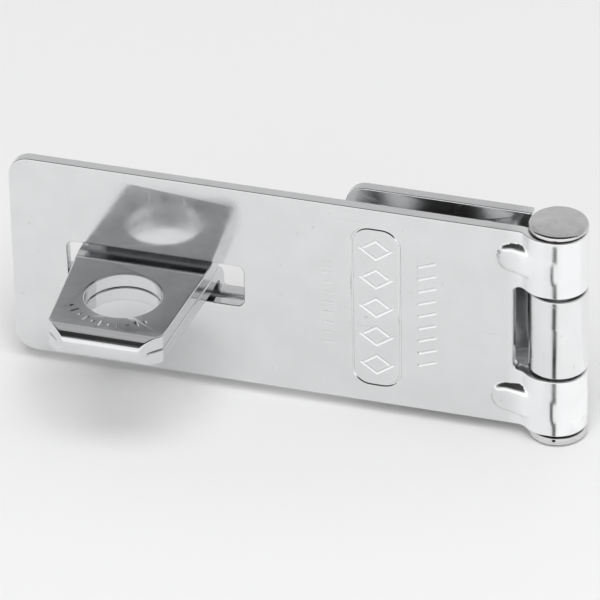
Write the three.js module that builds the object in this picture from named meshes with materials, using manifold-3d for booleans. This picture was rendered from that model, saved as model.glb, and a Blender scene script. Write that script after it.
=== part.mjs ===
/**
 * Hasp and staple pressed from steel sheet, closed, with the staple's tongue through the slot.
 *
 * Units are millimetres. +X runs along the leaves towards the barrel, -Y is the front and +Z is up,
 * along the hinge pin. The origin is the centre of the hinge leaf's back, and the plane y = 0 is the
 * surface that the hinge leaf and the staple's flanges are screwed to.
 *
 * Four separate pieces: the swinging leaf with the two outer knuckles, the hinge leaf with the centre
 * knuckle, the headed pin riveted in the outer knuckles, and the staple folded from one strip.
 */
import * as THREE from 'three';
import { mergeVertices } from 'three/addons/utils/BufferGeometryUtils.js';
import Module from 'manifold-3d';

const wasm = await Module();
wasm.setup();

// ---------------------------------------------------------------- driving dimensions

const HASP_LENGTH = 75; // free end of the swinging leaf to the far side of the barrel
const LEAF_HEIGHT = 29;
const SHEET = 1.5; // thickness of both leaves
const LEAF_GAP = 3; // clear space between the closed leaves
const LEAF_CORNER = 2.8;

const BARREL_RADIUS = 3.8;
const CENTRE_KNUCKLE = 11.55; // its height along the pin
const KNUCKLE_GAP = 0.425;
const JOGGLE_START = 4.7; // barrel axis back to where the sheet steps forward to its knuckles
const JOGGLE_SLOPE = 38; // degrees
const JOGGLE_HOLLOW = 1.5; // radius where the step leaves the leaf's face
const JOGGLE_CREST = 4; // radius where it meets the barrel's front
const WINDOW_SETBACK = 5.2; // barrel axis to the swinging leaf's edge between its knuckles
const WINDOW_CORNER = 0.8;
const CURL_END_OUTER = 190; // degrees from +X, by way of the back, where the outer knuckles end
const CURL_END_CENTRE = 212; // degrees from +X, by way of the front, where the centre knuckle ends

const PIN_RADIUS = 2.2;
const HEAD_THICKNESS = 0.95;
const RIVET_THICKNESS = 1.5;
const HEAD_GAP = 0.15; // head to knuckle
const HEAD_RIM = 0.4;
const HEAD_CROWN = 0.12;

const HINGE_LEAF_LENGTH = 28.2; // free end to the barrel axis
const HINGE_LEAF_CORNER = 2.6;
const HINGE_SHOULDER = 4; // barrel axis back to the hinge leaf's edge beside the centre knuckle
const HINGE_HOLES_X = [-9.1, 4.4];
const HINGE_HOLE_Z = 9.3;

const RIB_RADIUS = 2.1;
const RIB_SINK = 0.9; // depth of the rib's axis below the leaf's face at its free end
const RIB_START = [5.25, 6]; // upper and lower rib: barrel axis back to the centre of its round end
const RIB_END = 2.3; // barrel axis back to the centre of its hidden end
const RIB_PROUD = 0.4; // how far its crest stands in front of the barrel there
const RIB_HEIGHT = 10.5; // above and below the middle
const RIB_BACK = 0.3; // metal left behind the rib, in front of the leaf's back

const SLOT_START = 7.45; // free end of the leaf to the slot
const SLOT_LENGTH = 23.4;
const SLOT_HEIGHT = 6;
const SLOT_CORNER = 0.95;

const PLY = 2; // thickness of the staple's strip
const PLY_SEAM = 0.12; // gap between the folded plies
const SEAM_END = 0.9; // solid metal left beyond the gap at the folded tip
const TONGUE_CENTRE = 17.7; // free end of the leaf to the middle of the tongue
const TONGUE_ROOT = 17.4;
const TONGUE_WIDTH = 15; // at its outer end, before the corners are cut
const TONGUE_REACH = 24.4; // mounting surface to the folded tip
const TIP_CORNER = 2.5; // each cut corner of the tip, both ways
const PADLOCK_HOLE_RADIUS = 4.85;
const PADLOCK_HOLE_REACH = 14.6;
const FLANGE_WIDTH = 32;
const FLANGE_HEIGHT = 22.8; // both flanges together
const FLANGE_SHOULDER = 4.05; // middle to where the flanges widen beside the tongue
const FLANGE_CORNER = 2.5;
const FLANGE_BEND = 1; // hollow side of the bend from the tongue to a flange
const FLANGE_HOLE_X = 10.6;
const FLANGE_HOLE_Z = 7.75;

const SCREW_HOLE_RADIUS = 2; // for 3.5 mm countersunk screws
const SCREW_SINK_RADIUS = 3.1; // mouth of the 90 degree countersink

// ---------------------------------------------------------------- places that follow from them

const LEAF_FRONT = -(LEAF_GAP + 2 * SHEET);
const LEAF_BACK = LEAF_FRONT + SHEET;
const AXIS_X = HINGE_LEAF_LENGTH / 2;
const AXIS_Y = -BARREL_RADIUS;
const FREE_END = AXIS_X + BARREL_RADIUS - HASP_LENGTH;
const BORE_RADIUS = BARREL_RADIUS - SHEET;
const HALF_HEIGHT = LEAF_HEIGHT / 2;
const KNUCKLE_INNER_END = CENTRE_KNUCKLE / 2 + KNUCKLE_GAP;
const TONGUE_X = FREE_END + TONGUE_CENTRE;
const ARC_STEP = 7.5; // degrees of arc for each facet
const COARSE_STEP = 22.5; // the same for arcs under the small radius
const SMALL_RADIUS = 2;
const OVER = 1; // how far a cutter runs past the face it cuts
const DEEP = 4 * BARREL_RADIUS; // past the front of the barrel

const degrees = THREE.MathUtils.degToRad;

// ---------------------------------------------------------------- helpers

/** A closed geometry as a manifold solid. */
function solid(geometry) {
  const bare = geometry.clone();
  bare.deleteAttribute('normal');
  bare.deleteAttribute('uv');
  const merged = mergeVertices(bare, 1e-4);
  return new wasm.Manifold(new wasm.Mesh({
    numProp: 3,
    vertProperties: merged.attributes.position.array,
    triVerts: Uint32Array.from(merged.index.array),
  }));
}

/** A manifold solid as a named mesh with a material of its own. */
function mesh(name, body, material) {
  const { vertProperties, triVerts } = body.getMesh();
  const geometry = new THREE.BufferGeometry();
  geometry.setAttribute('position', new THREE.BufferAttribute(vertProperties, 3));
  geometry.setIndex(new THREE.BufferAttribute(triVerts, 1));
  const result = new THREE.Mesh(geometry.toNonIndexed(), material);
  result.geometry.computeVertexNormals();
  result.name = name;
  return result;
}

/** A prism along +Z from an outline in X and Y. */
function prismZ(shape, low, high) {
  return solid(new THREE.ExtrudeGeometry(shape, { depth: high - low, bevelEnabled: false })
    .translate(0, 0, low));
}

/** A prism along Y from an outline in X and Z. */
function prismY(shape, low, high) {
  return solid(new THREE.ExtrudeGeometry(shape, { depth: high - low, bevelEnabled: false })
    .rotateX(Math.PI / 2).translate(0, high, 0));
}

/** A prism along X from an outline in Y and Z. */
function prismX(shape, low, high) {
  return solid(new THREE.ExtrudeGeometry(shape, { depth: high - low, bevelEnabled: false })
    .rotateX(Math.PI / 2).rotateZ(Math.PI / 2).translate(low, 0, 0));
}

/** Points on an arc about (x, y), from one angle to another in degrees, both ends included. */
function arc(x, y, radius, from, to, step = radius < SMALL_RADIUS ? COARSE_STEP : ARC_STEP) {
  const steps = Math.max(2, Math.ceil(Math.abs(to - from) / step));
  return Array.from({ length: steps + 1 }, (_, i) => {
    const angle = degrees(from + ((to - from) * i) / steps);
    return new THREE.Vector2(x + radius * Math.cos(angle), y + radius * Math.sin(angle));
  });
}

/** Corners [x, y, radius] joined by straight lines, each rounded to its radius. */
function rounded(corners) {
  const points = [];
  corners.forEach(([x, y, radius], i) => {
    const here = new THREE.Vector2(x, y);
    if (!radius) {
      points.push(here);
      return;
    }
    const [before, after] = [corners.at(i - 1), corners[(i + 1) % corners.length]]
      .map(([cx, cy]) => new THREE.Vector2(cx, cy).sub(here).normalize());
    const half = Math.acos(before.dot(after)) / 2;
    const bisector = before.clone().add(after).normalize();
    const centre = here.clone().addScaledVector(bisector, radius / Math.sin(half));
    const start = before.multiplyScalar(radius / Math.tan(half)).add(here).sub(centre).angle();
    const end = after.multiplyScalar(radius / Math.tan(half)).add(here).sub(centre).angle();
    const turn = THREE.MathUtils.euclideanModulo(end - start + Math.PI, 2 * Math.PI) - Math.PI;
    points.push(...arc(centre.x, centre.y, radius, THREE.MathUtils.radToDeg(start),
      THREE.MathUtils.radToDeg(start + turn)));
  });
  return points;
}

/** A rectangle with rounded corners about (x, y). */
function roundedBox(x, y, width, height, radius) {
  const [w, h] = [width / 2, height / 2];
  return rounded([[x - w, y - h, radius], [x + w, y - h, radius], [x + w, y + h, radius],
    [x - w, y + h, radius]]);
}

/** A cutter for a countersunk screw hole at (x, z), sunk from the face y = front towards y = 0. */
function screwHole(x, z, front) {
  const throat = front + SCREW_SINK_RADIUS - SCREW_HOLE_RADIUS; // where the cone meets the hole
  const profile = [[0, front - OVER], [SCREW_SINK_RADIUS + OVER, front - OVER],
    [SCREW_HOLE_RADIUS, throat], [SCREW_HOLE_RADIUS, OVER], [0, OVER]]
    .map(([radius, y]) => new THREE.Vector2(radius, y));
  return solid(new THREE.LatheGeometry(profile, 32).translate(x, 0, z));
}

/** A body with a list of cutters taken out of it. */
function cut(body, cutters) {
  return cutters.reduce((rest, cutter) => rest.subtract(cutter), body);
}

// ---------------------------------------------------------------- materials

const zinc = (colour, roughness) => new THREE.MeshStandardMaterial({
  color: colour, roughness, metalness: 1,
});

// ---------------------------------------------------------------- swinging leaf

/** The leaf's section across the pin: flat sheet, a step forward, then round the pin and behind. */
function haspSection() {
  const front = AXIS_Y - BARREL_RADIUS;
  const slope = degrees(JOGGLE_SLOPE);
  const radii = JOGGLE_HOLLOW + JOGGLE_CREST;
  const straight = (LEAF_FRONT - front - radii * (1 - Math.cos(slope))) / Math.tan(slope);
  const hollow = [AXIS_X - JOGGLE_START, LEAF_FRONT - JOGGLE_HOLLOW];
  const crest = [hollow[0] + radii * Math.sin(slope) + straight, front + JOGGLE_CREST];
  return new THREE.Shape([
    new THREE.Vector2(FREE_END, LEAF_BACK),
    new THREE.Vector2(FREE_END, LEAF_FRONT),
    ...arc(...hollow, JOGGLE_HOLLOW, 90, 90 - JOGGLE_SLOPE),
    ...arc(...crest, JOGGLE_CREST, -90 - JOGGLE_SLOPE, -90),
    ...arc(AXIS_X, AXIS_Y, BARREL_RADIUS, -90, CURL_END_OUTER),
    ...arc(AXIS_X, AXIS_Y, BORE_RADIUS, CURL_END_OUTER, -90),
    ...arc(...crest, JOGGLE_CREST - SHEET, -90, -90 - JOGGLE_SLOPE),
    ...arc(...hollow, JOGGLE_HOLLOW + SHEET, 90 - JOGGLE_SLOPE, 90),
  ]);
}

/** The leaf seen from the front: round free corners, the slot, and the gap for the centre knuckle. */
function haspOutline() {
  const right = AXIS_X + BARREL_RADIUS + OVER;
  const window = AXIS_X - WINDOW_SETBACK;
  const outline = new THREE.Shape(rounded([
    [FREE_END, -HALF_HEIGHT, LEAF_CORNER],
    [right, -HALF_HEIGHT, 0],
    [right, -KNUCKLE_INNER_END, 0],
    [window, -KNUCKLE_INNER_END, WINDOW_CORNER],
    [window, KNUCKLE_INNER_END, WINDOW_CORNER],
    [right, KNUCKLE_INNER_END, 0],
    [right, HALF_HEIGHT, 0],
    [FREE_END, HALF_HEIGHT, LEAF_CORNER],
  ]));
  const slotX = FREE_END + SLOT_START + SLOT_LENGTH / 2;
  outline.holes.push(new THREE.Path(roundedBox(slotX, 0, SLOT_LENGTH, SLOT_HEIGHT, SLOT_CORNER)));
  return outline;
}

/** One stiffening rib: a round-ended bar half sunk in the sheet, from the leaf to the barrel's front. */
function rib(setback, z) {
  const start = new THREE.Vector3(AXIS_X - setback, LEAF_FRONT + RIB_SINK, z);
  const end = new THREE.Vector3(AXIS_X - RIB_END, AXIS_Y - BARREL_RADIUS + RIB_RADIUS - RIB_PROUD, z);
  const length = start.distanceTo(end);
  const profile = [...arc(0, 0, RIB_RADIUS, -90, 0), ...arc(0, length, RIB_RADIUS, 0, 90)];
  const along = new THREE.Quaternion().setFromUnitVectors(
    new THREE.Vector3(0, 1, 0), end.clone().sub(start).normalize());
  const bar = new THREE.LatheGeometry(profile, 24).applyQuaternion(along)
    .translate(start.x, start.y, start.z);
  const reach = 2 * BARREL_RADIUS; // the rib's depth and width are well inside this
  const front = new THREE.BoxGeometry(HASP_LENGTH, reach, reach)
    .translate(start.x, LEAF_BACK - RIB_BACK - reach / 2, z);
  return solid(bar).intersect(solid(front));
}

function haspLeaf() {
  const sheet = prismZ(haspSection(), -HALF_HEIGHT - OVER, HALF_HEIGHT + OVER)
    .intersect(prismY(haspOutline(), -DEEP, OVER));
  const bore = new THREE.CylinderGeometry(BORE_RADIUS, BORE_RADIUS, LEAF_HEIGHT + 2 * OVER, 48)
    .rotateX(Math.PI / 2).translate(AXIS_X, AXIS_Y, 0);
  const [upper, lower] = RIB_START;
  const ribbed = sheet.add(rib(upper, RIB_HEIGHT)).add(rib(lower, -RIB_HEIGHT));
  return mesh('hasp_leaf', ribbed.subtract(solid(bore)), zinc(0xd8dadc, 0.28));
}

// ---------------------------------------------------------------- hinge leaf

/** The hinge leaf's section: flat on the mounting surface, then round the pin to its own front. */
function hingeSection() {
  return new THREE.Shape([
    new THREE.Vector2(-AXIS_X, 0),
    new THREE.Vector2(-AXIS_X, -SHEET),
    ...arc(AXIS_X, AXIS_Y, BORE_RADIUS, 90, -CURL_END_CENTRE),
    ...arc(AXIS_X, AXIS_Y, BARREL_RADIUS, -CURL_END_CENTRE, 90),
  ]);
}

function hingeLeaf() {
  const right = AXIS_X + BARREL_RADIUS + OVER;
  const shoulder = AXIS_X - HINGE_SHOULDER;
  const half = CENTRE_KNUCKLE / 2;
  const outline = new THREE.Shape(rounded([
    [-AXIS_X, -HALF_HEIGHT, HINGE_LEAF_CORNER],
    [shoulder, -HALF_HEIGHT, 0],
    [shoulder, -half, 0],
    [right, -half, 0],
    [right, half, 0],
    [shoulder, half, 0],
    [shoulder, HALF_HEIGHT, 0],
    [-AXIS_X, HALF_HEIGHT, HINGE_LEAF_CORNER],
  ]));
  const sheet = prismZ(hingeSection(), -HALF_HEIGHT - OVER, HALF_HEIGHT + OVER)
    .intersect(prismY(outline, -DEEP, OVER));
  const holes = HINGE_HOLES_X.flatMap((x) => [-HINGE_HOLE_Z, HINGE_HOLE_Z]
    .map((z) => screwHole(x, z, -SHEET)));
  return mesh('hinge_leaf', cut(sheet, holes), zinc(0xc9cbcd, 0.32));
}

// ---------------------------------------------------------------- pin

/** The pin with its low crowned head on top and its riveted end below. */
function hingePin() {
  const rimCentre = BARREL_RADIUS - HEAD_RIM;
  const end = (thickness) => {
    const face = HALF_HEIGHT + HEAD_GAP + thickness - HEAD_CROWN;
    return [
      new THREE.Vector2(PIN_RADIUS, HALF_HEIGHT + HEAD_GAP),
      ...arc(rimCentre, HALF_HEIGHT + HEAD_GAP + HEAD_RIM, HEAD_RIM, -90, 0),
      ...arc(rimCentre, face - HEAD_RIM, HEAD_RIM, 0, 90),
      new THREE.Vector2(rimCentre / 2, face + 0.75 * HEAD_CROWN),
      new THREE.Vector2(0, face + HEAD_CROWN),
    ];
  };
  const below = end(RIVET_THICKNESS).map(({ x, y }) => new THREE.Vector2(x, -y)).reverse();
  const profile = [...below, ...end(HEAD_THICKNESS)];
  const body = solid(new THREE.LatheGeometry(profile, 48).rotateX(Math.PI / 2));
  return mesh('hinge_pin', body.translate([AXIS_X, AXIS_Y, 0]), zinc(0xb9babb, 0.3));
}

// ---------------------------------------------------------------- staple

/** The folded strip's section along the tongue: flange, bend, ply, fold, ply, bend, flange. */
function stapleSection() {
  const top = FLANGE_HEIGHT / 2;
  const seam = PLY_SEAM / 2;
  const inner = FLANGE_BEND;
  const bend = PLY + FLANGE_BEND; // centre of each bend, from the mounting surface and the middle
  const fold = TONGUE_REACH - PLY; // centre of the fold
  return new THREE.Shape([
    new THREE.Vector2(0, top),
    ...arc(-bend, bend, bend, 0, -90).map((p) => new THREE.Vector2(p.x, Math.max(p.y, seam))),
    new THREE.Vector2(SEAM_END - TONGUE_REACH, seam),
    new THREE.Vector2(SEAM_END - TONGUE_REACH, -seam),
    ...arc(-bend, -bend, bend, 90, 0).map((p) => new THREE.Vector2(p.x, Math.min(p.y, -seam))),
    new THREE.Vector2(0, -top),
    new THREE.Vector2(-PLY, -top),
    ...arc(-bend, -bend, inner, 0, 90),
    ...arc(-fold, 0, PLY, 270, 90),
    ...arc(-bend, bend, inner, -90, 0),
    new THREE.Vector2(-PLY, top),
  ]);
}

/** The tongue seen from above: tapered sides, cut corners, the fold's end and the padlock hole. */
function tongueOutline() {
  const [root, wide] = [TONGUE_ROOT / 2, TONGUE_WIDTH / 2];
  const [tip, past] = [wide - TIP_CORNER - OVER, -TONGUE_REACH - OVER];
  const right = [[root, 0], [root, LEAF_FRONT], [wide, TIP_CORNER - TONGUE_REACH], [tip, past]];
  const left = right.map(([x, y]) => [-x, y]).reverse();
  const outline = new THREE.Shape([...right, ...left]
    .map(([x, y]) => new THREE.Vector2(TONGUE_X + x, y)).reverse());
  const hole = arc(TONGUE_X, -PADLOCK_HOLE_REACH, PADLOCK_HOLE_RADIUS, 0, 360).slice(1);
  outline.holes.push(new THREE.Path(hole));
  return outline;
}

/** One flange seen from the front, above (side 1) or below (side -1) the tongue. */
function flangeOutline(side) {
  const [w, near, far] = [FLANGE_WIDTH / 2, side * FLANGE_SHOULDER, side * FLANGE_HEIGHT / 2];
  const corners = [[-w, near, 0.6], [w, near, 0.6], [w, far, FLANGE_CORNER], [-w, far, FLANGE_CORNER]];
  const turned = side > 0 ? corners : corners.toReversed();
  return new THREE.Shape(rounded(turned.map(([x, z, radius]) => [TONGUE_X + x, z, radius])));
}

function staple() {
  const half = FLANGE_WIDTH / 2 + OVER;
  const strip = prismX(stapleSection(), TONGUE_X - half, TONGUE_X + half);
  const blank = prismZ(tongueOutline(), -FLANGE_SHOULDER, FLANGE_SHOULDER)
    .add(prismY(flangeOutline(1), -PLY, 0))
    .add(prismY(flangeOutline(-1), -PLY, 0));
  const holes = [-FLANGE_HOLE_X, FLANGE_HOLE_X].flatMap((x) => [-FLANGE_HOLE_Z, FLANGE_HOLE_Z]
    .map((z) => screwHole(TONGUE_X + x, z, -PLY)));
  return mesh('staple', cut(strip.intersect(blank), holes), zinc(0xd2d4d6, 0.25));
}

// ---------------------------------------------------------------- assembly

const assembly = new THREE.Group();
assembly.add(haspLeaf(), hingeLeaf(), hingePin(), staple());

export default assembly;
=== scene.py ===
"""Hasp and staple in bright zinc-plated steel, closed, standing on a pale floor.

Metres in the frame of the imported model: +X along the leaves to the barrel, -Y the front, +Z up.
Leaves and staple are flat blanks with rounded edges, bent along a section as the real ones are, and
the pin is turned. They stand for the four CAD nodes and ride on their bodies.
"""
import math

import bmesh
import bpy
import numpy as np
from mathutils import Matrix, Vector
from mathutils.geometry import tessellate_polygon


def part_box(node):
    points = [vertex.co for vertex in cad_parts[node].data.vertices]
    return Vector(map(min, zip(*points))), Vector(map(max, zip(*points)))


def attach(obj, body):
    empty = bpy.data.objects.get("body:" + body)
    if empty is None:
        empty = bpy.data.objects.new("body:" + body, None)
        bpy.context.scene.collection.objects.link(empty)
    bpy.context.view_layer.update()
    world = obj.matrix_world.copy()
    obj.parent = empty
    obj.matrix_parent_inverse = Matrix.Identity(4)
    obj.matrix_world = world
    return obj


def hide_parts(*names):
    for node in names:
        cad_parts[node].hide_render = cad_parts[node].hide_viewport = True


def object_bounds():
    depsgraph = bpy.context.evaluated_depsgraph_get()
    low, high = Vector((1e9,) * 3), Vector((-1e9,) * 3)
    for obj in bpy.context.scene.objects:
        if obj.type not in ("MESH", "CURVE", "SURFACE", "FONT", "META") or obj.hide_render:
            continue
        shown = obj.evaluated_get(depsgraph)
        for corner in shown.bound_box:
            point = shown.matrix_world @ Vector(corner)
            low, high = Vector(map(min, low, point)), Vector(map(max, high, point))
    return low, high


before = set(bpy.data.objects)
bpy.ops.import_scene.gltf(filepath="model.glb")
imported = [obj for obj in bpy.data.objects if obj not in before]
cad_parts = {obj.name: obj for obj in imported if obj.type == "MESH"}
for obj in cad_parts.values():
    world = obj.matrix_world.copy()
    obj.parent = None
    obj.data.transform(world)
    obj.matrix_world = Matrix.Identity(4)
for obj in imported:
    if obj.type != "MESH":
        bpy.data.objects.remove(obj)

MM = 0.001
cad_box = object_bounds()

# ------------------------------------------------------------------ sizes, in millimetres

leaf_low, leaf_high = (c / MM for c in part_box("hasp_leaf"))
hinge_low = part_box("hinge_leaf")[0] / MM
staple_low, staple_high = (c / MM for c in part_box("staple"))
pin_low, pin_high = (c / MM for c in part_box("hinge_pin"))

SHEET = 1.5
BARREL = 3.8
AXIS_X, AXIS_Y = leaf_high.x - BARREL, -BARREL
LEAF_FRONT = -6.0
HALF_HEIGHT = leaf_high.z
FREE_END = leaf_low.x
EDGE = 0.2  # rounding of the sheared edges
FLAT = 0.999995  # a face is shaded flat where the largest part of its normal is at least this
LEAF_CORNER, HINGE_CORNER, SHOULDER_CORNER = 2.8, 2.6, 0.3

JOGGLE_START, JOGGLE_SLOPE, JOGGLE_HOLLOW, JOGGLE_CREST = 4.7, math.radians(38), 1.5, 4.0
WINDOW_SETBACK, WINDOW_CORNER = 5.2, 0.8
CENTRE_KNUCKLE, KNUCKLE_GAP = 11.55, 0.425
CURL_OUTER, CURL_CENTRE = math.radians(190), math.radians(212)

# Two ribs run from the leaf's front into the barrel's. Each pair is how far before the barrel's
# axis the round end lies, and its height. The crest starts RIB_RISE proud of the leaf and reaches
# the barrel's front RIB_END before the axis. It falls off round the end and sideways by RIB_CURVE,
# and by RIB_FALL from RIB_FALL_FROM before the axis on. On its way its middle drops by RIB_DROP and
# it widens by RIB_WIDEN. RIB_BLEND and RIB_RUNOUT are its fillet's reach at the start and the end.
RIBS = ((5.25, 10.5), (6.0, -10.5))
RIB_RISE, RIB_CURVE, RIB_END, RIB_FALL, RIB_FALL_FROM = 0.75, 0.038, 1.0, 0.4, 0.2
RIB_DROP, RIB_WIDEN, RIB_BLEND, RIB_RUNOUT = 0.45, 0.15, 0.16, 0.4
# The grid that carries them: its step, how far it reaches before the bend and round the barrel (in
# barrel radii), and its heights. Nothing nearer to the middle than RIB_CLEAR is moved.
RIB_GRID, RIB_BEFORE_BEND, RIB_ROUND_BARREL = 0.18, 4.2, 0.75
RIB_ZONE, RIB_CLEAR = (6.9, 13.9), 6.0
# The back of the sheet rises by RIB_HOLLOW of the front's rise. This fades out over HOLLOW_FADE and
# is gone HOLLOW_END before the axis.
RIB_HOLLOW, HOLLOW_END, HOLLOW_FADE = 0.8, 3.4, 1.6

SLOT_START, SLOT_LENGTH, SLOT_HEIGHT, SLOT_CORNER = 7.45, 23.4, 6.0, 0.95
HINGE_SHOULDER = 4.0
HINGE_HOLES_X, HINGE_HOLE_Z = (-9.1, 4.4), 9.3
SCREW_HOLE, SCREW_SINK = 2.0, 3.1

# Pressed marks: where along the leaf, how many, how far apart, and each stroke's width and depth.
FRAME_X, FRAME_WIDTH, FRAME_HEIGHT, FRAME_CORNER = 48.2, 6.2, 23.4, 2.3
FRAME_STROKE = (0.36, 0.13)
LOZENGES, LOZENGE_STEP, LOZENGE_HALF, LOZENGE_STROKE = 5, 4.3, (1.9, 1.35), (0.4, 0.085)
TICKS, RIGHT_TICK_X, RIGHT_TICK_STEP, RIGHT_TICK_SLANT = 9, (53.6, 56.0), 1.85, 0.45
LEFT_TICK_X, LEFT_TICK_STEP, LEFT_TICK_DROP = (41.2, 42.7), 1.5, 0.3
RIGHT_TICK_STROKE, LEFT_TICK_STROKE = (0.38, 0.08), (0.32, 0.068)
TONGUE_TICKS, TONGUE_TICK_ARC, TONGUE_TICK_STROKE = 11, (-56, 42), (0.42, 0.16)
LONG_TICK, SHORT_TICK = (6.15, 7.25), (6.45, 6.95)

# The pin's heads: a groove above the barrel's end down to the neck, a rolled rim and a low crown.
HEAD_GROOVE, HEAD_NECK, HEAD_INSET, HEAD_LIP = 0.32, 2.2, 0.3, 0.12
HEAD_ROLL, HEAD_DROP, HEAD_CROWN = 0.62, 0.6, 0.12

PLY, SEAM, SEAM_END = 2.0, 0.12, 0.9
PLY_EDGES = 0.22, 0.2  # rounding of the strip's edges, outside and inside the fold
TONGUE_X, REACH, TIP_CORNER = FREE_END + 17.7, -staple_low.y, 2.5
TONGUE_ROOT, TONGUE_WIDE = 8.7, 7.5
HOLE_RADIUS, HOLE_REACH = 4.85, 14.6
FLANGE_HALF, FLANGE_TOP, FLANGE_SHOULDER, FLANGE_BEND = 16.0, staple_high.z, 4.05, 1.0
FLANGE_CORNER, FLANGE_FOOT_CORNER, TONGUE_FOOT_CORNER = 2.5, 0.6, 0.45
FLANGE_HOLE_X, FLANGE_HOLE_Z = 10.6, 7.75


# ------------------------------------------------------------------ blanks

def arc(x, y, radius, start, end, steps):
    """Points on an arc about (x, y) between two angles in degrees, both ends included."""
    return [(x + radius * math.cos(a), y + radius * math.sin(a))
            for a in np.radians(np.linspace(start, end, steps + 1))]


def rounded(corners, steps=7):
    """Corners (x, y, radius) joined by straight lines, each rounded to its radius."""
    points = []
    for i, (x, y, radius) in enumerate(corners):
        here = Vector((x, y))
        if not radius:
            points.append((x, y))
            continue
        before, after = ((Vector(corners[j][:2]) - here).normalized()
                         for j in (i - 1, (i + 1) % len(corners)))
        half = before.angle(after) / 2
        centre = here + (before + after).normalized() * radius / math.sin(half)
        first = here + before * radius / math.tan(half) - centre
        last = here + after * radius / math.tan(half) - centre
        start = math.degrees(math.atan2(first.y, first.x))
        turn = (math.degrees(math.atan2(last.y, last.x)) - start + 180) % 360 - 180
        points += arc(centre.x, centre.y, radius, start, start + turn, steps)
    return points


def inset(loop, distance):
    """A closed loop moved to its left by a distance, with mitred corners."""
    p = np.array(loop, float)
    along = np.roll(p, -1, 0) - p
    along /= np.linalg.norm(along, axis=1)[:, None]
    left = np.stack([-along[:, 1], along[:, 0]], 1)
    before = np.roll(left, 1, 0)
    return p + distance * (left + before) / (1 + (left * before).sum(1))[:, None]


def blank(loops, thickness, edge=EDGE, back_edge=None, steps=3):
    """A flat plate as a bmesh in (u, depth, z). The first loop is the outline, anticlockwise, and
    the others are holes, clockwise. Every edge is rounded, front and back."""
    back_edge = edge if back_edge is None else back_edge
    turns = [math.pi / 2 * i / steps for i in range(steps + 1)]
    rings = [(edge * (1 - math.sin(a)), edge * (1 - math.cos(a))) for a in turns]
    rings += [(back_edge * (1 - math.cos(a)), thickness - back_edge * (1 - math.sin(a)))
              for a in turns]
    bm = bmesh.new()
    front, back = [], []
    for loop in loops:
        made = [[bm.verts.new((u, depth, z)) for u, z in inset(loop, distance)]
                for distance, depth in rings]
        n = len(loop)
        for a, b in zip(made, made[1:]):
            for i in range(n):
                j = (i + 1) % n
                bm.faces.new((a[i], b[i], b[j], a[j]))
        front.append(made[0])
        back.append(made[-1])
    for side in (front, back):
        flat = [[Vector((v.co.x, v.co.z, 0)) for v in ring] for ring in side]
        verts = [v for ring in side for v in ring]
        for triangle in tessellate_polygon(flat):
            bm.faces.new([verts[i] for i in triangle])
    bmesh.ops.recalc_face_normals(bm, faces=bm.faces)
    return bm


def slice_at(bm, axis, places, near=None):
    """Adds a line of edges across the plate at each place along an axis."""
    normal = Vector([float(i == axis) for i in range(3)])
    for place in places:
        geometry = bm.verts[:] + bm.edges[:] + bm.faces[:]
        if near:
            faces = [f for f in bm.faces if near(f.calc_center_bounds())]
            edges = {e for f in faces for e in f.edges}
            geometry = faces + list(edges) + list({v for e in edges for v in e.verts})
        bmesh.ops.bisect_plane(bm, geom=geometry, dist=1e-5, plane_co=normal * place,
                               plane_no=normal)


class Path:
    """A section as a chain of straight and round parts, measured along its front surface.

    Each part is (length, turn): turn is the signed angle it turns by, positive to the left, and
    0 on a straight. The metal lies to the left of the direction of travel where side is 1."""

    def __init__(self, start, heading, parts, side):
        self.side, self.parts = side, []
        x, y, angle, at = start[0], start[1], heading, 0.0
        for length, turn in parts:
            self.parts.append((at, length, turn, x, y, angle))
            if turn:
                radius = length / turn
                x += radius * (math.sin(angle + turn) - math.sin(angle))
                y -= radius * (math.cos(angle + turn) - math.cos(angle))
                angle += turn
            else:
                x += length * math.cos(angle)
                y += length * math.sin(angle)
            at += length
        self.length = at

    def place(self, u, depth):
        """The point at u along the front surface and a depth into the metal."""
        part = next((p for p in reversed(self.parts) if u >= p[0] - 1e-9), self.parts[0])
        at, length, turn, x, y, angle = part
        s = u - at
        if turn:
            swept = s * turn / length
            radius = length / turn
            x += radius * (math.sin(angle + swept) - math.sin(angle))
            y -= radius * (math.cos(angle + swept) - math.cos(angle))
            angle += swept
        else:
            x += s * math.cos(angle)
            y += s * math.sin(angle)
        return (x - self.side * depth * math.sin(angle), y + self.side * depth * math.cos(angle))

    def lines(self, step=math.radians(6)):
        """Where the plate needs edges so that each round part is smooth."""
        places = []
        for at, length, turn, *_ in self.parts:
            count = max(1, math.ceil(abs(turn) / step)) if turn else 1
            places += [at + length * i / count for i in range(count + 1)]
        return sorted({round(p, 5) for p in places})


# ------------------------------------------------------------------ finish

def node(tree, kind, **values):
    """A new node, with its properties and inputs set by name."""
    made = tree.nodes.new(kind)
    for key, value in values.items():
        if key in made.bl_rna.properties:
            setattr(made, key, value)
        else:
            made.inputs[key.replace("_", " ")].default_value = value
    return made


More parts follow.
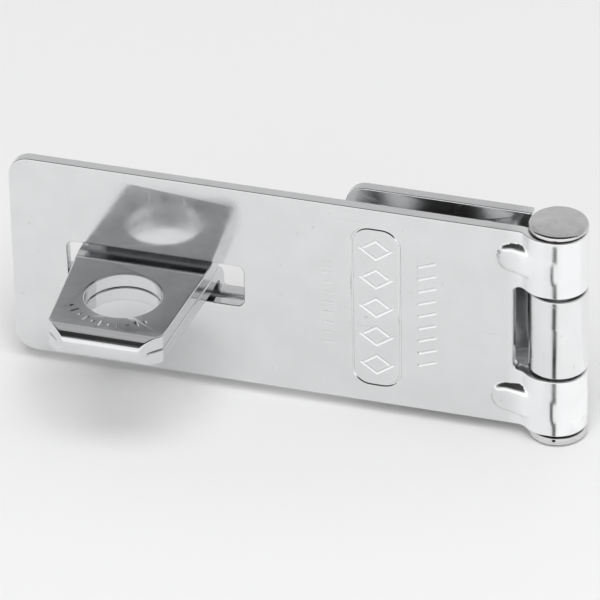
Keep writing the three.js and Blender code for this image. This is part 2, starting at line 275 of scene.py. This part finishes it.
def zinc(name, colour, roughness, mottle, cloud, seed, drawn=0.0, pale=0.0):
    """Bright zinc on steel: cloudy gloss, fine scratches, small pits and brighter worn edges.

    Colour and roughness are the middle values. Mottle is how far the tone varies, and cloud is the
    scale of its noise. Towards the barrel the roughness changes by drawn, and the colour lightens
    by
    pale: a painted highlight for the brighter reflections on the bend and the barrel."""
    material = bpy.data.materials.new(name)
    material.use_nodes = True
    tree = material.node_tree
    link = tree.links.new
    shader = tree.nodes["Principled BSDF"]
    shader.inputs["Metallic"].default_value = 1.0
    place = node(tree, "ShaderNodeTexCoord").outputs["Object"]

    def noise(scale, detail, stretch=(1, 1, 1), turn=0.0):
        mapping = node(tree, "ShaderNodeMapping")
        mapping.inputs["Location"].default_value = (seed * 0.013, seed * 0.007, seed * 0.011)
        mapping.inputs["Rotation"].default_value = (0, turn, 0)
        mapping.inputs["Scale"].default_value = stretch
        link(place, mapping.inputs["Vector"])
        made = node(tree, "ShaderNodeTexNoise", Scale=scale, Detail=detail, Roughness=0.6)
        link(mapping.outputs["Vector"], made.inputs["Vector"])
        return made.outputs["Fac"]

    def remap(value, low, high, to_low, to_high):
        made = node(tree, "ShaderNodeMapRange")
        for key, number in (("From Min", low), ("From Max", high), ("To Min", to_low),
                            ("To Max", to_high)):
            made.inputs[key].default_value = number
        link(value, made.inputs["Value"])
        return made.outputs["Result"]

    def combine(operation, a, b):
        made = node(tree, "ShaderNodeMath", operation=operation)
        for i, value in enumerate((a, b)):
            if isinstance(value, float):
                made.inputs[i].default_value = value
            else:
                link(value, made.inputs[i])
        return made.outputs[0]

    # scratches and pits are the highest few per cent of a noise, stretched two ways for scratches
    clouds = noise(cloud, 4)
    grain = noise(2600, 3)
    scratch_a = remap(noise(190, 2, (0.3, 1, 7), 0.62), 0.70, 0.76, 0, 1)
    scratch_b = remap(noise(230, 2, (6, 1, 0.35), -0.9), 0.71, 0.77, 0, 1)
    scratches = combine("MAXIMUM", scratch_a, scratch_b)
    pits = remap(noise(900, 2), 0.70, 0.76, 0, 1)

    bevel = node(tree, "ShaderNodeBevel", samples=4)
    bevel.inputs["Radius"].default_value = 0.35 * MM
    geometry = node(tree, "ShaderNodeNewGeometry")
    dot = node(tree, "ShaderNodeVectorMath", operation="DOT_PRODUCT")
    link(bevel.outputs["Normal"], dot.inputs[0])
    link(geometry.outputs["Normal"], dot.inputs[1])
    worn = remap(dot.outputs["Value"], 0.995, 0.90, 0, 1)

    shade = combine("ADD", remap(clouds, 0.3, 0.7, -mottle, mottle), 1.0)
    shade = combine("SUBTRACT", shade, combine("MULTIPLY", scratches, 0.05))
    shade = combine("SUBTRACT", shade, combine("MULTIPLY", pits, 0.16))
    shade = combine("ADD", shade, combine("MULTIPLY", worn, 0.06))
    along = node(tree, "ShaderNodeSeparateXYZ")
    link(place, along.inputs[0])
    # painted highlight: the colour lightens by pale towards the barrel, standing in for the
    # brighter reflections on the bend and the barrel
    shade = combine("ADD", shade, remap(along.outputs["X"], 8 * MM, 10.5 * MM, 0, pale))
    tint = node(tree, "ShaderNodeVectorMath", operation="SCALE")
    tint.inputs[0].default_value = colour
    link(shade, tint.inputs["Scale"])
    link(tint.outputs["Vector"], shader.inputs["Base Color"])

    gloss = combine("ADD", remap(clouds, 0.3, 0.7, roughness - 0.03, roughness + 0.05),
                    combine("MULTIPLY", scratches, 0.08))
    gloss = combine("ADD", gloss, remap(along.outputs["X"], 6.5 * MM, 10 * MM, 0, drawn))
    link(combine("SUBTRACT", gloss, combine("MULTIPLY", worn, 0.05)), shader.inputs["Roughness"])

    height = combine("ADD", combine("MULTIPLY", grain, 0.5), combine("MULTIPLY", clouds, 1.4))
    height = combine("SUBTRACT", height, combine("MULTIPLY", scratches, 0.5))
    height = combine("SUBTRACT", height, combine("MULTIPLY", pits, 0.9))
    bump = node(tree, "ShaderNodeBump")
    bump.inputs["Strength"].default_value = 0.22
    bump.inputs["Distance"].default_value = 0.02 * MM
    link(height, bump.inputs["Height"])
    link(bump.outputs["Normal"], shader.inputs["Normal"])
    return material


def piece(name, bm, material, body, cad_node, sharp=40):
    """A finished piece in metres from a bmesh in millimetres, riding on its body. Edges turning by
    more than sharp degrees stay crisp."""
    bmesh.ops.remove_doubles(bm, verts=bm.verts, dist=1e-4)
    bmesh.ops.recalc_face_normals(bm, faces=bm.faces)
    bm.transform(Matrix.Scale(MM, 4))
    mesh = bpy.data.meshes.new(name)
    bm.to_mesh(mesh)
    bm.free()
    mesh.polygons.foreach_set("use_smooth", [max(abs(c) for c in p.normal) < FLAT
                                             for p in mesh.polygons])
    mesh.set_sharp_from_angle(angle=math.radians(sharp))
    mesh.materials.append(material)
    made = bpy.data.objects.new(name, mesh)
    bpy.context.scene.collection.objects.link(made)
    weighted = made.modifiers.new("even_shading", "WEIGHTED_NORMAL")
    weighted.keep_sharp = True
    weighted.mode = "FACE_AREA_WITH_ANGLE"
    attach(made, body)
    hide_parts(cad_node)
    return made


def carve(bm, cutters):
    """Takes closed cutters out of the plate."""
    meshes = [bpy.data.meshes.new("carved"), bpy.data.meshes.new("cutters")]
    bm.to_mesh(meshes[0])
    cutters.to_mesh(meshes[1])
    whole, tool = (bpy.data.objects.new(m.name, m) for m in meshes)
    for made in (whole, tool):
        bpy.context.scene.collection.objects.link(made)
    step = whole.modifiers.new("carve", "BOOLEAN")
    step.operation, step.solver, step.object = "DIFFERENCE", "EXACT", tool
    result = bpy.data.meshes.new_from_object(
        whole.evaluated_get(bpy.context.evaluated_depsgraph_get()))
    bm.clear()
    bm.from_mesh(result)
    bmesh.ops.triangulate(bm, faces=[f for f in bm.faces if len(f.verts) > 4])
    for made in (whole, tool):
        bpy.data.objects.remove(made)
    for mesh in (*meshes, result):
        bpy.data.meshes.remove(mesh)


def turned(bm, profile, centre, steps=64):
    """Adds a closed solid turned about the depth axis from (radius, depth) pairs."""
    rings = []
    for radius, depth in profile:
        if radius:
            rings.append([bm.verts.new((centre[0] + radius * math.cos(a), depth,
                                        centre[1] + radius * math.sin(a)))
                          for a in np.linspace(0, 2 * math.pi, steps, endpoint=False)])
        else:
            rings.append([bm.verts.new((centre[0], depth, centre[1]))] * steps)
    for a, b in zip(rings, rings[1:]):
        for i in range(steps):
            j = (i + 1) % steps
            corners = list(dict.fromkeys((a[i], a[j], b[j], b[i])))
            if len(corners) > 2:
                bm.faces.new(corners)


def screw_holes(bm, places, thickness):
    """Countersunk holes, sunk from the plate's front."""
    tools = bmesh.new()
    lip, lip_depth, past = 0.12, 0.05, 1
    for place in places:
        turned(tools, [(0, -past), (SCREW_SINK + lip, -past), (SCREW_SINK + lip, 0),
                       (SCREW_SINK, lip_depth), (SCREW_HOLE, SCREW_SINK - SCREW_HOLE),
                       (SCREW_HOLE, thickness + past), (0, thickness + past)], place)
    bmesh.ops.recalc_face_normals(tools, faces=tools.faces)
    carve(bm, tools)
    tools.free()


# ------------------------------------------------------------------ swinging leaf

def stroke(tools, points, width, depth):
    """Adds a cutter for a shallow groove in the front face, along a line of points. The groove is a
    closed ring where the first and last points agree. Every face points outward."""
    closed = points[0] == points[-1]
    p = np.array(points[:-1] if closed else points, float)
    along = (np.roll(p, -1, 0) - p) if closed else np.diff(p, axis=0, append=2 * p[-1:] - p[-2:-1])
    along /= np.linalg.norm(along, axis=1)[:, None]
    before = np.roll(along, 1, 0) if closed else np.vstack([along[:1], along[:-1]])
    middle = along + before
    middle /= np.linalg.norm(middle, axis=1)[:, None]
    across = np.stack([-middle[:, 1], middle[:, 0]], 1) / (middle * along).sum(1)[:, None]
    shape = ((-1.2, -0.1), (1.2, -0.1), (0.45, 1.0), (-0.45, 1.0))
    rings = [[tools.verts.new((q[0] + width / 2 * s * a[0], depth * d, q[1] + width / 2 * s * a[1]))
              for s, d in shape] for q, a in zip(p, across)]
    for a, b in zip(rings, rings[1:] + (rings[:1] if closed else [])):
        for i in range(4):
            j = (i + 1) % 4
            tools.faces.new((a[j], a[i], b[i], b[j]))
    if not closed:
        tools.faces.new(rings[0])
        tools.faces.new(rings[-1][::-1])


def stamped_marks():
    """Cutters for plain pressed marks on the flat leaf: a framed column of lozenges, and a column
    of ticks on either side."""
    tools = bmesh.new()
    x, w, h = FREE_END + FRAME_X, FRAME_WIDTH / 2, FRAME_HEIGHT / 2
    outline = rounded([(x - w, -h, FRAME_CORNER), (x + w, -h, FRAME_CORNER),
                       (x + w, h, FRAME_CORNER), (x - w, h, FRAME_CORNER)])
    stroke(tools, outline + outline[:1], *FRAME_STROKE)
    wide, high = LOZENGE_HALF
    for i in range(LOZENGES):
        z = (i - LOZENGES // 2) * LOZENGE_STEP
        lozenge = [(x - wide, z), (x, z - high), (x + wide, z), (x, z + high)]
        stroke(tools, lozenge + lozenge[:1], *LOZENGE_STROKE)
    for i in range(TICKS):
        z = (i - TICKS // 2) * RIGHT_TICK_STEP
        start, end = (FREE_END + place for place in RIGHT_TICK_X)
        stroke(tools, [(start, z - RIGHT_TICK_SLANT), (end, z + RIGHT_TICK_SLANT)],
               *RIGHT_TICK_STROKE)
    for i in range(TICKS):
        z = (i - TICKS // 2) * LEFT_TICK_STEP - LEFT_TICK_DROP
        stroke(tools, [(FREE_END + place, z) for place in LEFT_TICK_X], *LEFT_TICK_STROKE)
    return tools


def hasp_leaf():
    """The swinging leaf: slot, joggle, window, ribs, pressed marks and the two outer knuckles."""
    front = AXIS_Y - BARREL
    radii = JOGGLE_HOLLOW + JOGGLE_CREST
    straight = (LEAF_FRONT - front - radii * (1 - math.cos(JOGGLE_SLOPE))) / math.sin(JOGGLE_SLOPE)
    hollow_x = AXIS_X - JOGGLE_START
    crest_x = hollow_x + radii * math.sin(JOGGLE_SLOPE) + straight * math.cos(JOGGLE_SLOPE)
    curl = math.pi / 2 + CURL_OUTER
    path = Path((FREE_END, LEAF_FRONT), 0.0, [
        (hollow_x - FREE_END, 0.0),
        (JOGGLE_HOLLOW * JOGGLE_SLOPE, -JOGGLE_SLOPE),
        (straight, 0.0),
        (JOGGLE_CREST * JOGGLE_SLOPE, JOGGLE_SLOPE),
        (AXIS_X - crest_x, 0.0),
        (BARREL * curl, curl),
    ], 1)
    end, inner = path.length, CENTRE_KNUCKLE / 2 + KNUCKLE_GAP
    window = AXIS_X - WINDOW_SETBACK - FREE_END
    outline = rounded([
        (0, -HALF_HEIGHT, LEAF_CORNER), (end, -HALF_HEIGHT, 0), (end, -inner, 0),
        (window, -inner, WINDOW_CORNER), (window, inner, WINDOW_CORNER), (end, inner, 0),
        (end, HALF_HEIGHT, 0), (0, HALF_HEIGHT, LEAF_CORNER)])
    x0, x1, z1 = SLOT_START, SLOT_START + SLOT_LENGTH, SLOT_HEIGHT / 2
    slot = rounded([(x0, -z1, SLOT_CORNER), (x0, z1, SLOT_CORNER), (x1, z1, SLOT_CORNER),
                    (x1, -z1, SLOT_CORNER)])
    bm = blank([outline, slot], SHEET, steps=5)
    tools = stamped_marks()
    for v in tools.verts:
        v.co.x -= FREE_END
    carve(bm, tools)
    tools.free()

    bend = path.parts[1][0]
    slice_at(bm, 0, path.lines()[1:-1])
    rib_from, rib_to = bend - RIB_BEFORE_BEND, path.parts[5][0] + BARREL * RIB_ROUND_BARREL
    slice_at(bm, 0, np.arange(rib_from, rib_to, RIB_GRID))
    for side in (1, -1):
        low, high = sorted(side * z for z in RIB_ZONE)
        slice_at(bm, 2, np.arange(low, high, RIB_GRID), lambda c: c.x > rib_from - 0.1)

    def rib_front(x, z, y):
        """The front surface of the sheet at (x, z), pushed forward over the ribs."""
        for setback, height in RIBS:
            run = setback - RIB_END
            grow = min(max((x - (AXIS_X - setback)) / run, 0.0), 1.0)
            crest = LEAF_FRONT - RIB_RISE + (front - LEAF_FRONT + RIB_RISE) * grow
            dz = abs(z - (height - RIB_DROP * grow)) / (1 + RIB_WIDEN * grow)
            before = max(AXIS_X - setback - x, 0.0)
            after = max(x - AXIS_X + RIB_FALL_FROM, 0.0)
            crest += RIB_CURVE * (dz * dz + before * before) ** 2 + RIB_FALL * after * after
            blend = RIB_BLEND + (RIB_RUNOUT - RIB_BLEND) * grow
            h = max(0.0, min(1.0, 0.5 + 0.5 * (y - crest) / blend))
            y = y + (crest - y) * h - blend * h * (1 - h)
        return y

    for v in bm.verts:
        u, depth, z = v.co
        x, y = path.place(u, depth)
        face_x, face_y = path.place(u, 0.0)
        if rib_from < u < rib_to and abs(z) > RIB_CLEAR:
            rise = rib_front(face_x, z, face_y) - face_y
            hollow = min(max((AXIS_X - HOLLOW_END - x) / HOLLOW_FADE, 0.0), 1.0)
            rise *= 1 - (depth / SHEET) * (1 - RIB_HOLLOW * hollow)
            y += rise
        v.co = (x, y, z)
    return bm


# ------------------------------------------------------------------ hinge leaf

def hinge_leaf():
    """The fixed leaf: four countersunk holes and the centre knuckle."""
    curl = math.pi / 2 + CURL_CENTRE
    straight = AXIS_X - hinge_low.x
    path = Path((hinge_low.x, 0.0), 0.0, [(straight, 0.0), (BARREL * curl, -curl)], -1)
    end, half, shoulder = path.length, CENTRE_KNUCKLE / 2, straight - HINGE_SHOULDER
    outline = rounded([
        (0, -HALF_HEIGHT, HINGE_CORNER), (shoulder, -HALF_HEIGHT, SHOULDER_CORNER),
        (shoulder, -half, SHOULDER_CORNER), (end, -half, 0), (end, half, 0),
        (shoulder, half, SHOULDER_CORNER), (shoulder, HALF_HEIGHT, SHOULDER_CORNER),
        (0, HALF_HEIGHT, HINGE_CORNER)])
    bm = blank([outline], SHEET)
    for v in bm.verts:  # the countersinks open on the other face
        v.co.y = SHEET - v.co.y
    screw_holes(bm, [(x - hinge_low.x, z) for x in HINGE_HOLES_X
                     for z in (-HINGE_HOLE_Z, HINGE_HOLE_Z)], SHEET)
    for v in bm.verts:
        v.co.y = SHEET - v.co.y
    slice_at(bm, 0, path.lines()[1:-1])
    for v in bm.verts:
        u, depth, z = v.co
        v.co = (*path.place(u, depth), z)
    return bm


# ------------------------------------------------------------------ pin

def hinge_pin():
    """The pin with a rolled head at either end, turned about its own axis."""
    bm = bmesh.new()

    def end(face, top):
        """A head's outline from the groove below it to its middle, as (radius, height)."""
        under, rim, crown = HALF_HEIGHT + HEAD_GROOVE, face - HEAD_DROP, BARREL - HEAD_ROLL
        points = [(HEAD_NECK, under), (BARREL - HEAD_INSET, under)]
        points += [(BARREL - HEAD_LIP * (1 - math.sin(a)), rim - (rim - under) * math.cos(a))
                   for a in np.linspace(0, math.pi / 2, 6)]
        points += [(BARREL - HEAD_ROLL * (1 - math.cos(a)), face - HEAD_DROP * (1 - math.sin(a)))
                   for a in np.linspace(0, math.pi / 2, 12)[1:]]
        points += [(r, face + (top - face) * (1 - (r / crown) ** 2))
                   for r in np.linspace(crown, 0, 12)[1:]]
        return points

    profile = [(r, -h) for r, h in reversed(end(-pin_low.z - HEAD_CROWN, -pin_low.z))]
    profile += end(pin_high.z - HEAD_CROWN, pin_high.z)
    turned(bm, profile, (0, 0), 96)
    bmesh.ops.recalc_face_normals(bm, faces=bm.faces)
    for v in bm.verts:
        v.co = (AXIS_X + v.co.x, AXIS_Y + v.co.z, v.co.y)
    return bm


# ------------------------------------------------------------------ staple

def staple():
    """One strip folded double: flange, bend, ply, fold, ply, bend, flange."""
    fold, quarter = REACH - PLY, math.pi / 2
    ply = fold - PLY - FLANGE_BEND
    flange = FLANGE_TOP - PLY - FLANGE_BEND
    half = PLY * quarter + ply + FLANGE_BEND * quarter + flange

    def reach(s):
        """How far in front of the mounting surface the strip is, s along from the fold's middle."""
        s = abs(s)
        return fold + PLY * math.cos(s / PLY) if s < PLY * quarter else fold - (s - PLY * quarter)

    def width(y):
        """Half the tongue's width at a reach y: cut corners at the tip, then a taper."""
        if y > REACH - TIP_CORNER:
            return TONGUE_WIDE - (y - (REACH - TIP_CORNER))
        grow = min(1.0, (REACH - TIP_CORNER - y) / (REACH - TIP_CORNER + LEAF_FRONT))
        return TONGUE_WIDE + (TONGUE_ROOT - TONGUE_WIDE) * grow

    shoulder = half - (FLANGE_TOP - FLANGE_SHOULDER)
    corner = PLY * quarter + (fold - (REACH - TIP_CORNER))
    taper = PLY * quarter + fold + LEAF_FRONT
    low = [(FLANGE_HALF, -half, FLANGE_CORNER), (FLANGE_HALF, -shoulder, FLANGE_FOOT_CORNER),
           (TONGUE_ROOT, -shoulder, TONGUE_FOOT_CORNER), (TONGUE_ROOT, -taper, 0)]
    right = low + [(width(reach(s)), s, 0) for s in np.linspace(-corner, corner, 29)]
    right += [(x, -s, radius) for x, s, radius in reversed(low)]
    outline = rounded(right + [(-x, s, radius) for x, s, radius in reversed(right)])
    hole_at = PLY * quarter + fold - HOLE_REACH
    holes = [list(reversed(arc(0, s, HOLE_RADIUS, 0, 360, 72)[:-1])) for s in (hole_at, -hole_at)]
    bm = blank([outline, *holes], PLY, *PLY_EDGES, steps=4)
    screw_holes(bm, [(x, side * (half - FLANGE_TOP + FLANGE_HOLE_Z)) for side in (1, -1)
                     for x in (-FLANGE_HOLE_X, FLANGE_HOLE_X)], PLY)
    tools = bmesh.new()
    for i, angle in enumerate(np.radians(np.linspace(*TONGUE_TICK_ARC, TONGUE_TICKS))):
        stroke(tools, [(r * math.sin(angle), hole_at - r * math.cos(angle))
                       for r in (LONG_TICK if i % 2 else SHORT_TICK)], *TONGUE_TICK_STROKE)
    carve(bm, tools)
    tools.free()

    arms = Path((0.0, 0.0), 0.0, [(PLY * quarter, quarter), (ply, 0.0),
                                  (FLANGE_BEND * quarter, -quarter), (flange, 0.0)], 1)
    places = [p for p in arms.lines(math.radians(7)) if 0 < p < half - 0.01]
    slice_at(bm, 2, [-p for p in reversed(places)] + [0.0] + places)
    squeeze = 1 - SEAM / 2 / PLY
    for v in bm.verts:
        x, depth, s = v.co
        if abs(s) < half - flange - 1e-6:
            depth *= squeeze
        a = min(abs(s), PLY * quarter) / PLY
        if abs(s) <= PLY * quarter:
            inner = (PLY - SEAM_END) * (depth / PLY / squeeze) ** 2
            y, z = fold + (PLY - depth + inner) * math.cos(a), (PLY - depth) * math.sin(a)
            x *= width(y) / width(reach(s))
        elif abs(s) <= PLY * quarter + ply:
            y, z = fold - (abs(s) - PLY * quarter), PLY - depth
        elif abs(s) <= half - flange:
            b = (abs(s) - PLY * quarter - ply) / FLANGE_BEND
            bend = PLY + FLANGE_BEND
            y = bend - (FLANGE_BEND + depth) * math.sin(b)
            z = bend - (FLANGE_BEND + depth) * math.cos(b)
        else:
            y, z = PLY - depth, PLY + FLANGE_BEND + abs(s) - (half - flange)
        v.co = (TONGUE_X + x, -y, z if s >= 0 else -z)
    return bm


# the last number of the leaf's and the hinge's finish is pale: a painted highlight that lightens
# their colour towards the barrel
leaf_zinc = zinc("leaf_zinc", (0.77, 0.775, 0.78), 0.12, 0.03, 240, 1, 0.11, 0.22)
hinge_zinc = zinc("hinge_zinc", (0.74, 0.745, 0.75), 0.24, 0.04, 200, 2, -0.05, 0.14)
pin_zinc = zinc("pin_zinc", (0.70, 0.70, 0.695), 0.13, 0.08, 520, 3)
staple_zinc = zinc("staple_zinc", (0.69, 0.695, 0.705), 0.14, 0.025, 200, 4)

piece("swinging_leaf", hasp_leaf(), leaf_zinc, "swinging_side", "hasp_leaf", 19.5)
piece("fixed_leaf", hinge_leaf(), hinge_zinc, "hinge_side", "hinge_leaf")
piece("riveted_pin", hinge_pin(), pin_zinc, "swinging_side", "hinge_pin", 50)
piece("folded_staple", staple(), staple_zinc, "staple_side", "staple", 28)

# ------------------------------------------------------------------ studio

def floor():
    """A plain pale floor at the lowest point of the CAD."""
    mesh = bpy.data.meshes.new("floor")
    size, z = 3.0, cad_box[0].z
    mesh.from_pydata([(-size, -size, z), (size, -size, z), (size, size, z), (-size, size, z)], [],
                     [(0, 1, 2, 3)])
    made = bpy.data.objects.new("floor", mesh)
    bpy.context.scene.collection.objects.link(made)
    material = bpy.data.materials.new("floor")
    material.use_nodes = True
    shader = material.node_tree.nodes["Principled BSDF"]
    shader.inputs["Base Color"].default_value = (0.86, 0.86, 0.86, 1)
    shader.inputs["Roughness"].default_value = 0.9
    shader.inputs["Specular IOR Level"].default_value = 0.1
    mesh.materials.append(material)


def studio():
    """A grey room whose tone goes with the angle about the left-right axis, from level at the back
    (0) over the top to level at the front (1): grey, dark where the camera stands, then bright."""
    world = bpy.data.worlds.new("studio")
    bpy.context.scene.world = world
    world.use_nodes = True
    tree = world.node_tree
    link = tree.links.new
    direction = node(tree, "ShaderNodeTexCoord").outputs["Generated"]
    split = node(tree, "ShaderNodeSeparateXYZ")
    link(direction, split.inputs[0])
    turn = node(tree, "ShaderNodeMath", operation="ARCTAN2")
    link(split.outputs["Z"], turn.inputs[0])
    link(split.outputs["Y"], turn.inputs[1])
    spread = node(tree, "ShaderNodeMapRange")
    spread.inputs["From Max"].default_value = math.pi
    link(turn.outputs[0], spread.inputs["Value"])
    ramp = node(tree, "ShaderNodeValToRGB")
    stops = ((0.0, 0.66), (0.20, 0.64), (0.27, 0.52), (0.53, 0.58), (0.59, 0.04), (0.78, 0.03),
             (0.865, 1.25), (1.0, 1.25))
    while len(ramp.color_ramp.elements) < len(stops):
        ramp.color_ramp.elements.new(0.5)
    for element, (place, grey) in zip(ramp.color_ramp.elements, stops):
        element.position = place
        element.color = (grey, grey, grey * 1.005, 1)
    link(spread.outputs["Result"], ramp.inputs["Fac"])
    link(ramp.outputs["Color"], tree.nodes["Background"].inputs["Color"])


def softbox():
    """A large soft light in front and above, which lights the floor but isn't mirrored."""
    data = bpy.data.lights.new("softbox", "AREA")
    data.size, data.energy = 0.8, 8.6
    made = bpy.data.objects.new("softbox", data)
    bpy.context.scene.collection.objects.link(made)
    made.location = (0.15, -0.45, 0.9)
    made.rotation_euler = (-made.location).to_track_quat("-Z", "Y").to_euler()
    made.visible_glossy = False


def card(name, corners, grey):
    """A studio card of an even grey, in millimetres, which only the metal's gloss sees."""
    mesh = bpy.data.meshes.new(name)
    mesh.from_pydata([Vector(c) * MM for c in corners], [], [tuple(range(len(corners)))])
    made = bpy.data.objects.new(name, mesh)
    bpy.context.scene.collection.objects.link(made)
    material = bpy.data.materials.new(name)
    material.use_nodes = True
    tree = material.node_tree
    glow = node(tree, "ShaderNodeEmission")
    glow.inputs["Color"].default_value = (grey, grey, grey, 1)
    tree.links.new(glow.outputs[0], tree.nodes["Material Output"].inputs["Surface"])
    mesh.materials.append(material)
    for ray in ("camera", "diffuse", "shadow", "transmission", "volume_scatter"):
        setattr(made, "visible_" + ray, False)


def cards():
    """A white sheet lying to the right of the barrel, and a dark bar in front of it."""
    above_floor, half_near, half_far, white, black = 0.3, 0.3, 7.5, 0.98, 0.0
    z = cad_box[0].z / MM + above_floor
    x, near, far = AXIS_X + 0.55, -8.6, -62.0
    left, right, back = 20, 75, 6
    card("right_sheet", [(x + half_near, near, z), (x + half_far, far, z), (right, far, z),
                         (right, back, z), (left, back, z), (left, near, z)], white)
    card("dark_bar", [(x - half_near, near, z), (x + half_near, near, z), (x + half_far, far, z),
                      (x - half_far, far, z)], black)


def camera():
    """At the photograph's viewing angle: a long lens, above and to the right of the front."""
    azimuth, elevation, roll = (math.radians(a) for a in (17.189, 33.823, -1.1285))
    distance = 0.8273
    right = Vector((math.cos(azimuth), math.sin(azimuth), 0))
    ahead = Vector((-math.sin(azimuth) * math.cos(elevation),
                    math.cos(azimuth) * math.cos(elevation), -math.sin(elevation)))
    up = right.cross(ahead)
    x = right * math.cos(roll) + up * math.sin(roll)
    y = up * math.cos(roll) - right * math.sin(roll)
    data = bpy.data.cameras.new("camera")
    data.sensor_width, data.lens = 36, 394.5
    data.clip_start, data.clip_end = 0.05, 20
    made = bpy.data.objects.new("camera", data)
    bpy.context.scene.collection.objects.link(made)
    target = Vector((-18.87, -6.0, -0.634)) * MM
    turn = Matrix((x, y, -ahead)).transposed()
    made.matrix_world = Matrix.Translation(target - ahead * distance) @ turn.to_4x4()
    bpy.context.scene.camera = made


floor()
studio()
softbox()
cards()
camera()
bpy.context.scene.view_settings.view_transform = "Standard"
